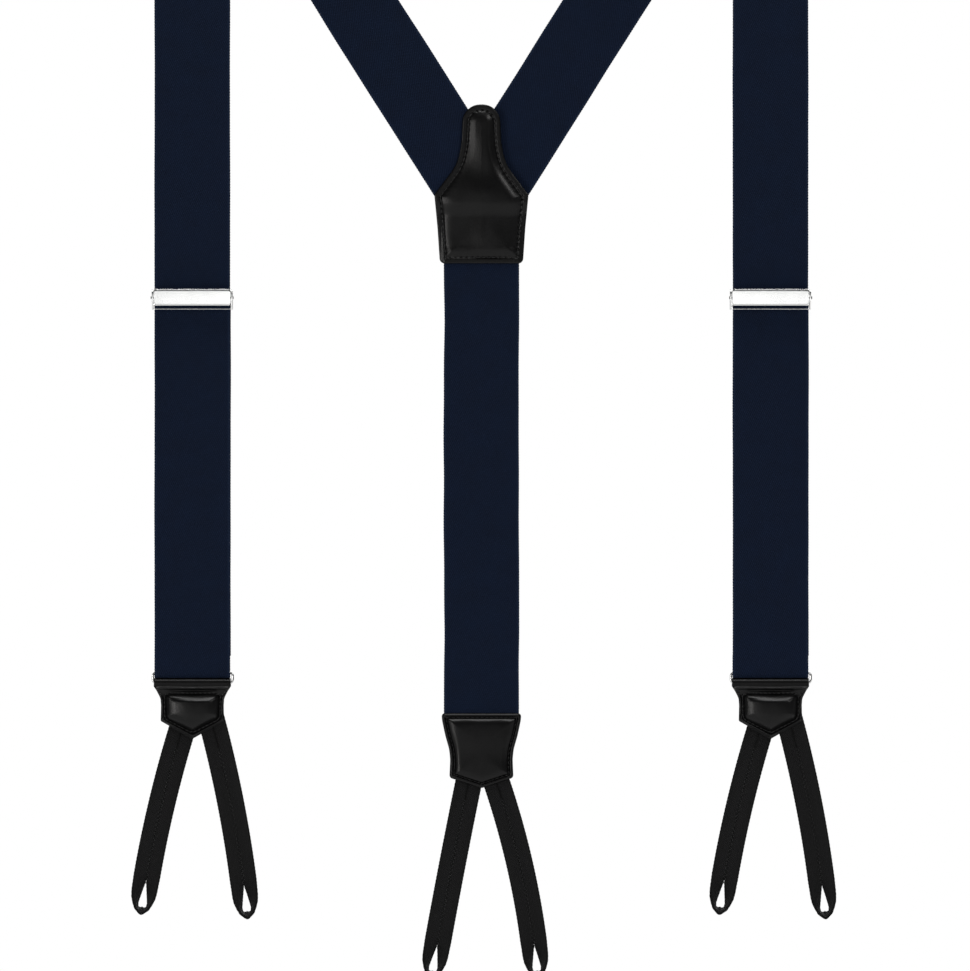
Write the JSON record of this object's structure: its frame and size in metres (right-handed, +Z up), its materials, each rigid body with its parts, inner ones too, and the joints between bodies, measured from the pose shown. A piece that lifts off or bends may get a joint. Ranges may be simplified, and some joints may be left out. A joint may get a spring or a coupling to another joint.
{
  "type": "suspenders",
  "caption": "Button-on suspenders with a Y back: elastic webbing, padded leather patch and tabs, slide adjusters with flip levers, and braided runner loops with button slits.",
  "frame": {"origin": "midway between the two shoulder bends, level with the middle of the webbing at their tops, where a hanger or a pair of shoulders holds the straps", "axes": "+Z up along the hanging straps, -Y towards the front, +X across from the left front strap to the right one as the front is seen"},
  "size_m": [0.3528, 0.0534, 0.6151],
  "materials": {
    "webbing": "navy twill-woven elastic webbing",
    "leather": "smooth black calf with a low gloss",
    "board": "matte cut edge",
    "braid": "matte black braided tape",
    "plated": "polished nickel plate",
    "wire": "bright nickel-plated wire"
  },
  "bodies": {
    "harness": {"left_shoulder_strap": "webbing", "right_shoulder_strap": "webbing", "back_stem_strap": "webbing", "patch_filler": "board", "patch_inner_leather": "leather", "patch_outer_leather": "leather", "left_front_strap": "webbing", "right_front_strap": "webbing"},
    "back_tab": {"back_tab_inner_leather": "leather", "back_tab_outer_leather": "leather", "back_tab_spacer": "board", "back_tab_tapes": "braid"},
    "back_loop_left": {"back_tab_loop_left": "braid"},
    "back_loop_right": {"back_tab_loop_right": "braid"},
    "left_drop": {"left_strap_bight": "webbing", "left_return_strap": "webbing"},
    "left_adjuster": {"left_adjuster_frame": "plated", "left_adjuster_bar": "plated", "left_adjuster_pin": "plated", "left_strap_end": "webbing"},
    "left_lever": {"left_adjuster_lever": "plated"},
    "left_ring": {"left_tab_ring": "wire"},
    "left_tab": {"left_tab_fold": "leather", "left_tab_face": "leather", "left_tab_spacer": "board", "left_tab_tapes": "braid"},
    "left_loop_left": {"left_tab_loop_left": "braid"},
    "left_loop_right": {"left_tab_loop_right": "braid"},
    "right_drop": {"right_strap_bight": "webbing", "right_return_strap": "webbing"},
    "right_adjuster": {"right_adjuster_frame": "plated", "right_adjuster_bar": "plated", "right_adjuster_pin": "plated", "right_strap_end": "webbing"},
    "right_lever": {"right_adjuster_lever": "plated"},
    "right_ring": {"right_tab_ring": "wire"},
    "right_tab": {"right_tab_fold": "leather", "right_tab_face": "leather", "right_tab_spacer": "board", "right_tab_tapes": "braid"},
    "right_loop_left": {"right_tab_loop_left": "braid"},
    "right_loop_right": {"right_tab_loop_right": "braid"}
  },
  "joints": [
    {"name": "back_stretch", "type": "slide", "parent": "harness", "child": "back_tab", "axis": [0, 0, -1], "range_m": [0, 0.05], "stiffness_N_per_m": 400, "springref_m": -0.0006, "deforming": ["back_stem_strap"]},
    {"name": "back_loop_left_flex", "type": "hinge", "parent": "back_tab", "child": "back_loop_left", "pos_m": [-0.0074, 0.022, -0.514], "axis": [1, 0, 0], "range_deg": [-60, 60]},
    {"name": "back_loop_right_flex", "type": "hinge", "parent": "back_tab", "child": "back_loop_right", "pos_m": [0.0092, 0.022, -0.514], "axis": [1, 0, 0], "range_deg": [-60, 60]},
    {"name": "left_length_adjust", "type": "slide", "parent": "harness", "child": "left_drop", "axis": [0, 0, 1], "range_m": [-0.15, 0.09], "deforming": ["left_front_strap"]},
    {"name": "left_adjuster_travel", "type": "slide", "parent": "left_drop", "child": "left_adjuster", "axis": [0, 0, 1], "range_m": [-0.15, 0.09], "deforming": ["left_return_strap"]},
    {"name": "left_lever_hinge", "type": "hinge", "parent": "left_adjuster", "child": "left_lever", "pos_m": [-0.1444, -0.0256, -0.2661], "axis": [-1, 0, 0], "range_deg": [0, 45]},
    {"name": "left_ring_swing", "type": "hinge", "parent": "left_drop", "child": "left_ring", "pos_m": [-0.1444, -0.0205, -0.45345], "axis": [1, 0, 0], "range_deg": [-45, 45]},
    {"name": "left_tab_swing", "type": "hinge", "parent": "left_ring", "child": "left_tab", "pos_m": [-0.1444, -0.0205, -0.45855], "axis": [1, 0, 0], "range_deg": [-45, 45]},
    {"name": "left_loop_left_flex", "type": "hinge", "parent": "left_tab", "child": "left_loop_left", "pos_m": [-0.1512, -0.0205, -0.4872], "axis": [1, 0, 0], "range_deg": [-60, 60]},
    {"name": "left_loop_right_flex", "type": "hinge", "parent": "left_tab", "child": "left_loop_right", "pos_m": [-0.1322, -0.0205, -0.4872], "axis": [1, 0, 0], "range_deg": [-60, 60]},
    {"name": "right_length_adjust", "type": "slide", "parent": "harness", "child": "right_drop", "axis": [0, 0, 1], "range_m": [-0.15, 0.09], "deforming": ["right_front_strap"]},
    {"name": "right_adjuster_travel", "type": "slide", "parent": "right_drop", "child": "right_adjuster", "axis": [0, 0, 1], "range_m": [-0.15, 0.09], "deforming": ["right_return_strap"]},
    {"name": "right_lever_hinge", "type": "hinge", "parent": "right_adjuster", "child": "right_lever", "pos_m": [0.1444, -0.0256, -0.2661], "axis": [-1, 0, 0], "range_deg": [0, 45]},
    {"name": "right_ring_swing", "type": "hinge", "parent": "right_drop", "child": "right_ring", "pos_m": [0.1444, -0.0205, -0.45345], "axis": [1, 0, 0], "range_deg": [-45, 45]},
    {"name": "right_tab_swing", "type": "hinge", "parent": "right_ring", "child": "right_tab", "pos_m": [0.1444, -0.0205, -0.45855], "axis": [1, 0, 0], "range_deg": [-45, 45]},
    {"name": "right_loop_left_flex", "type": "hinge", "parent": "right_tab", "child": "right_loop_left", "pos_m": [0.1376, -0.0205, -0.4872], "axis": [1, 0, 0], "range_deg": [-60, 60]},
    {"name": "right_loop_right_flex", "type": "hinge", "parent": "right_tab", "child": "right_loop_right", "pos_m": [0.1566, -0.0205, -0.4872], "axis": [1, 0, 0], "range_deg": [-60, 60]}
  ],
  "couplings": [
    {"joint": "left_adjuster_travel", "follows": "left_length_adjust", "ratio": 1},
    {"joint": "right_adjuster_travel", "follows": "right_length_adjust", "ratio": 1}
  ]
}
